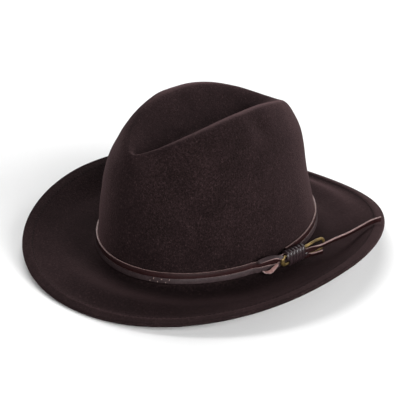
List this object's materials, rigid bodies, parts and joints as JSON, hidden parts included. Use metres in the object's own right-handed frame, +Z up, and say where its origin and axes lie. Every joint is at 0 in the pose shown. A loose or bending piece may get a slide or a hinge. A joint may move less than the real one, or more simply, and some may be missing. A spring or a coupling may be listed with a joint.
{
  "type": "felt hat",
  "caption": "Wide-brimmed wool felt hat with a creased crown, a stitched brim edge, an inner sweatband and a leather lace band tied through a brass ring.",
  "frame": {"origin": "under the middle of the hat's box, on the surface that the hat stands on", "axes": "+Z up, -Y to the hat's front, +X to the wearer's left, the side of the knot"},
  "size_m": [0.305, 0.335, 0.1345],
  "materials": {
    "felt": "dense brushed wool felt",
    "brim_thread": "matte sewing thread",
    "lace_leather": "smooth waxed lace with a satin face",
    "light_thread": "waxed thread",
    "antique_brass": "antiqued, worn bright on the high spots",
    "sweat_leather": "soft smooth lining leather",
    "ribbon": "narrow satin ribbon"
  },
  "bodies": {
    "hat": {"felt_body": "felt", "brim_edge_thread": "brim_thread", "sweatband": "sweat_leather", "sweatband_stitching": "brim_thread", "sweatband_bow": "ribbon"},
    "hatband": {"upper_strand": "lace_leather", "lower_strand": "lace_leather", "splice_stitches": "light_thread", "brass_ring": "antique_brass", "knot_wrap": "lace_leather"},
    "long_lace_tail": {"long_tail": "lace_leather"},
    "short_lace_tail": {"short_tail": "lace_leather"}
  },
  "joints": [
    {"name": "hatband_lift", "type": "slide", "parent": "hat", "child": "hatband", "axis": [0, -0.0349, 0.9994], "range_m": [0, 0.12]},
    {"name": "long_tail_lift", "type": "hinge", "parent": "hatband", "child": "long_lace_tail", "pos_m": [0.10224, 0.01464, 0.02093], "axis": [0.9849, -0.1729, 0], "range_deg": [0, 60]},
    {"name": "short_tail_swing", "type": "hinge", "parent": "hatband", "child": "short_lace_tail", "pos_m": [0.10313, 0.01477, 0.01373], "axis": [0, 0, -1], "range_deg": [0, 40]}
  ]
}
